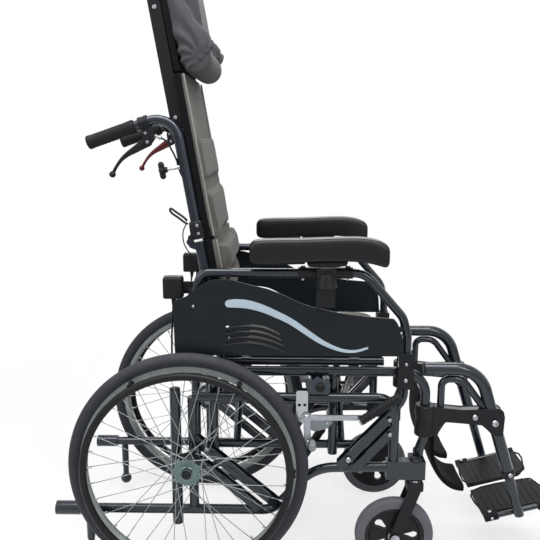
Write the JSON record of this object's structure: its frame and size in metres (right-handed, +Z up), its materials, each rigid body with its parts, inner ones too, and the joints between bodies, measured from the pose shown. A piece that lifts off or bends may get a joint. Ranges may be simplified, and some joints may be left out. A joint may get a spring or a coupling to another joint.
{
  "type": "tilt in space wheelchair",
  "caption": "Folding wheelchair whose seat and back tilt together in a side frame, with headrest, push handles, swing-away footrests and spoked rear wheels.",
  "frame": {"origin": "on the floor, at the middle of the chair's box", "axes": "+X forward, +Y to the sitter's left, +Z up"},
  "size_m": [1.3188, 0.599, 1.5243],
  "materials": {
    "frame_metal": "glossy dark gunmetal enamel",
    "black_plastic": "moulded, fine texture",
    "panel_plastic": "smooth dark slate with a pale stripe",
    "rubber": "soft grip rubber",
    "tyre": "grey solid tyre",
    "rim_plastic": "satin grey",
    "spokes": "bright spokes and hub",
    "handrim": "black powder coat",
    "bright_steel": "zinc-plated",
    "cushion_fabric": "warm grey upholstery with piping",
    "head_fabric": "grey stretch fabric with a sheen",
    "black_fabric": "black woven sling",
    "red_lever": "dark lacquer"
  },
  "bodies": {
    "base_R": {"base_frame_R": "frame_metal"},
    "gascyl_R": {"gas_cylinder_R": "handrim"},
    "wheel_R": {"tyre_R": "tyre", "rim_R": "rim_plastic", "hub_spokes_R": "spokes", "handrim_R": "handrim"},
    "fork_R": {"caster_fork_R": "black_plastic"},
    "caster_R": {"caster_wheel_R": "black_plastic", "caster_tyre_R": "tyre"},
    "antitip_R": {"anti_tip_R": "frame_metal"},
    "lock_R": {"wheel_lock_R": "bright_steel"},
    "seat_R": {"seat_frame_R": "frame_metal", "cable_box_R": "black_plastic", "back_pad_lower": "cushion_fabric"},
    "gasrod_R": {"gas_rod_R": "bright_steel"},
    "rail_R": {"sling_rail_R": "frame_metal", "seat_sling": "black_fabric", "seat_cushion": "cushion_fabric"},
    "back_R": {"push_handle_R": "frame_metal", "handle_fittings_R": "black_plastic", "back_pad_upper": "cushion_fabric"},
    "ext_R": {"back_extension_R": "handrim", "headrest": "head_fabric"},
    "lever_R": {"hand_lever_R": "black_plastic"},
    "arm_R": {"arm_frame_R": "frame_metal", "arm_clamp_R": "black_plastic", "side_panel_R": "panel_plastic"},
    "pad_R": {"arm_pad_R": "black_plastic"},
    "hanger_R": {"hanger_R": "frame_metal", "calf_strap_R": "black_fabric"},
    "foot_R": {"footplate_R": "black_plastic"},
    "base_L": {"base_frame_L": "frame_metal"},
    "gascyl_L": {"gas_cylinder_L": "handrim"},
    "wheel_L": {"tyre_L": "tyre", "rim_L": "rim_plastic", "hub_spokes_L": "spokes", "handrim_L": "handrim"},
    "fork_L": {"caster_fork_L": "black_plastic"},
    "caster_L": {"caster_wheel_L": "black_plastic", "caster_tyre_L": "tyre"},
    "antitip_L": {"anti_tip_L": "frame_metal"},
    "lock_L": {"wheel_lock_L": "bright_steel"},
    "seat_L": {"seat_frame_L": "frame_metal", "cable_box_L": "black_plastic"},
    "gasrod_L": {"gas_rod_L": "bright_steel"},
    "rail_L": {"sling_rail_L": "frame_metal"},
    "back_L": {"push_handle_L": "frame_metal", "handle_fittings_L": "black_plastic"},
    "ext_L": {"back_extension_L": "handrim"},
    "lever_L": {"hand_lever_L": "red_lever"},
    "arm_L": {"arm_frame_L": "frame_metal", "arm_clamp_L": "black_plastic", "side_panel_L": "panel_plastic"},
    "pad_L": {"arm_pad_L": "black_plastic"},
    "hanger_L": {"hanger_L": "frame_metal", "calf_strap_L": "black_fabric"},
    "foot_L": {"footplate_L": "black_plastic"},
    "brace_a": {"cross_brace_a": "frame_metal"},
    "brace_b": {"cross_brace_b": "frame_metal"}
  },
  "joints": [
    {"name": "tilt", "type": "hinge", "parent": "base_R", "child": "seat_R", "pos_m": [0.02464, -0.178, 0.516], "axis": [0, -1, 0], "range_deg": [0, 30]},
    {"name": "gas_swing_R", "type": "hinge", "parent": "base_R", "child": "gascyl_R", "pos_m": [-0.04036, -0.128, 0.2217], "axis": [0, -1, 0], "range_deg": [-6.11, 0]},
    {"name": "gas_stroke_R", "type": "slide", "parent": "gascyl_R", "child": "gasrod_R", "axis": [0.5076, 0, 0.8616], "range_m": [0, 0.0567]},
    {"name": "fold", "type": "hinge", "parent": "seat_R", "child": "brace_a", "pos_m": [-0.10236, -0.154, 0.33], "axis": [-1, 0, 0], "range_deg": [-37, 0], "deforming": ["seat_sling", "seat_cushion", "back_pad_lower", "back_pad_upper", "headrest", "calf_strap_R", "calf_strap_L"]},
    {"name": "scissor", "type": "hinge", "parent": "brace_a", "child": "brace_b", "pos_m": [-0.10236, 0, 0.445], "axis": [-1, 0, 0], "range_deg": [0, 74]},
    {"name": "fold_L", "type": "hinge", "parent": "brace_b", "child": "seat_L", "pos_m": [-0.10236, 0.154, 0.33], "axis": [-1, 0, 0], "range_deg": [-37, 0]},
    {"name": "rail_turn_L", "type": "hinge", "parent": "brace_a", "child": "rail_L", "pos_m": [-0.10236, 0.154, 0.56], "axis": [-1, 0, 0], "range_deg": [0, 37]},
    {"name": "rail_turn_R", "type": "hinge", "parent": "brace_b", "child": "rail_R", "pos_m": [-0.10236, -0.154, 0.56], "axis": [-1, 0, 0], "range_deg": [-37, 0]},
    {"name": "tilt_L", "type": "hinge", "parent": "seat_L", "child": "base_L", "pos_m": [0.02464, 0.178, 0.516], "axis": [0, -1, 0], "range_deg": [-30, 0]},
    {"name": "gas_swing_L", "type": "hinge", "parent": "base_L", "child": "gascyl_L", "pos_m": [-0.04036, 0.128, 0.2217], "axis": [0, -1, 0], "range_deg": [-6.11, 0]},
    {"name": "gas_stroke_L", "type": "slide", "parent": "gascyl_L", "child": "gasrod_L", "axis": [0.5076, 0, 0.8616], "range_m": [0, 0.0567]},
    {"name": "back_fold", "type": "hinge", "parent": "seat_R", "child": "back_R", "pos_m": [-0.29404, -0.178, 0.87629], "axis": [0, 1, 0], "range_deg": [-110, 0]},
    {"name": "back_fold_L", "type": "hinge", "parent": "seat_L", "child": "back_L", "pos_m": [-0.29404, 0.178, 0.87629], "axis": [0, 1, 0], "range_deg": [-110, 0]},
    {"name": "headrest_height", "type": "slide", "parent": "back_R", "child": "ext_R", "axis": [-0.1685, 0, 0.9857], "range_m": [0, 0.1]},
    {"name": "headrest_height_L", "type": "slide", "parent": "back_L", "child": "ext_L", "axis": [-0.1685, 0, 0.9857], "range_m": [0, 0.1]},
    {"name": "tilt_lever_R", "type": "hinge", "parent": "back_R", "child": "lever_R", "pos_m": [-0.39106, -0.178, 1.11925], "axis": [0, 1, 0], "range_deg": [0, 22], "stiffness_Nm_per_rad": 0.6, "springref_deg": -20.05},
    {"name": "wheel_spin_R", "type": "hinge", "parent": "base_R", "child": "wheel_R", "pos_m": [-0.30236, -0.25, 0.305], "axis": [0, 1, 0], "continuous": true},
    {"name": "caster_swivel_R", "type": "hinge", "parent": "base_R", "child": "fork_R", "pos_m": [0.28064, -0.205, 0.262], "axis": [0, 0, 1], "continuous": true},
    {"name": "caster_spin_R", "type": "hinge", "parent": "fork_R", "child": "caster_R", "pos_m": [0.23114, -0.205, 0.1025], "axis": [0, 1, 0], "continuous": true},
    {"name": "anti_tip_turn_R", "type": "hinge", "parent": "base_R", "child": "antitip_R", "pos_m": [-0.50236, -0.205, 0.168], "axis": [1, 0, 0], "range_deg": [0, 180]},
    {"name": "wheel_lock_R", "type": "hinge", "parent": "base_R", "child": "lock_R", "pos_m": [-0.00236, -0.205, 0.436], "axis": [0, 1, 0], "range_deg": [-30, 0]},
    {"name": "arm_flip_R", "type": "hinge", "parent": "seat_R", "child": "arm_R", "pos_m": [-0.28536, -0.205, 0.745], "axis": [0, -1, 0], "range_deg": [0, 85]},
    {"name": "arm_height_R", "type": "slide", "parent": "arm_R", "child": "pad_R", "axis": [0, 0, 1], "range_m": [0, 0.055]},
    {"name": "swing_away_R", "type": "hinge", "parent": "seat_R", "child": "hanger_R", "pos_m": [0.30464, -0.178, 0.412], "axis": [0, 0, -1], "range_deg": [0, 90]},
    {"name": "footplate_flip_R", "type": "hinge", "parent": "hanger_R", "child": "foot_R", "pos_m": [0.48264, -0.157, 0.121], "axis": [0.9659, 0, 0.2588], "range_deg": [0, 92]},
    {"name": "tilt_lever_L", "type": "hinge", "parent": "back_L", "child": "lever_L", "pos_m": [-0.39106, 0.178, 1.11925], "axis": [0, 1, 0], "range_deg": [0, 22], "stiffness_Nm_per_rad": 0.6, "springref_deg": -20.05},
    {"name": "wheel_spin_L", "type": "hinge", "parent": "base_L", "child": "wheel_L", "pos_m": [-0.30236, 0.25, 0.305], "axis": [0, 1, 0], "continuous": true},
    {"name": "caster_swivel_L", "type": "hinge", "parent": "base_L", "child": "fork_L", "pos_m": [0.28064, 0.205, 0.262], "axis": [0, 0, 1], "continuous": true},
    {"name": "caster_spin_L", "type": "hinge", "parent": "fork_L", "child": "caster_L", "pos_m": [0.23114, 0.205, 0.1025], "axis": [0, 1, 0], "continuous": true},
    {"name": "anti_tip_turn_L", "type": "hinge", "parent": "base_L", "child": "antitip_L", "pos_m": [-0.50236, 0.205, 0.168], "axis": [-1, 0, 0], "range_deg": [0, 180]},
    {"name": "wheel_lock_L", "type": "hinge", "parent": "base_L", "child": "lock_L", "pos_m": [-0.00236, 0.205, 0.436], "axis": [0, 1, 0], "range_deg": [-30, 0]},
    {"name": "arm_flip_L", "type": "hinge", "parent": "seat_L", "child": "arm_L", "pos_m": [-0.28536, 0.205, 0.745], "axis": [0, -1, 0], "range_deg": [0, 85]},
    {"name": "arm_height_L", "type": "slide", "parent": "arm_L", "child": "pad_L", "axis": [0, 0, 1], "range_m": [0, 0.055]},
    {"name": "swing_away_L", "type": "hinge", "parent": "seat_L", "child": "hanger_L", "pos_m": [0.30464, 0.178, 0.412], "axis": [0, 0, 1], "range_deg": [0, 90]},
    {"name": "footplate_flip_L", "type": "hinge", "parent": "hanger_L", "child": "foot_L", "pos_m": [0.48264, 0.157, 0.121], "axis": [-0.9659, 0, -0.2588], "range_deg": [0, 92]}
  ],
  "couplings": [
    {"joint": "gas_swing_R", "follows": "tilt", "ratio": -0.197},
    {"joint": "gas_stroke_R", "follows": "tilt", "m_per_rad": 0.10725},
    {"joint": "scissor", "follows": "fold", "ratio": -2},
    {"joint": "fold_L", "follows": "fold", "ratio": 1},
    {"joint": "rail_turn_L", "follows": "fold", "ratio": -1},
    {"joint": "rail_turn_R", "follows": "fold", "ratio": 1},
    {"joint": "tilt_L", "follows": "tilt", "ratio": -1},
    {"joint": "gas_swing_L", "follows": "tilt", "ratio": -0.197},
    {"joint": "gas_stroke_L", "follows": "tilt", "m_per_rad": 0.10725},
    {"joint": "back_fold_L", "follows": "back_fold", "ratio": 1},
    {"joint": "headrest_height_L", "follows": "headrest_height", "ratio": 1},
    {"joint": "footplate_flip_R", "follows": "fold", "ratio": -2.3},
    {"joint": "footplate_flip_L", "follows": "fold", "ratio": -2.3}
  ]
}
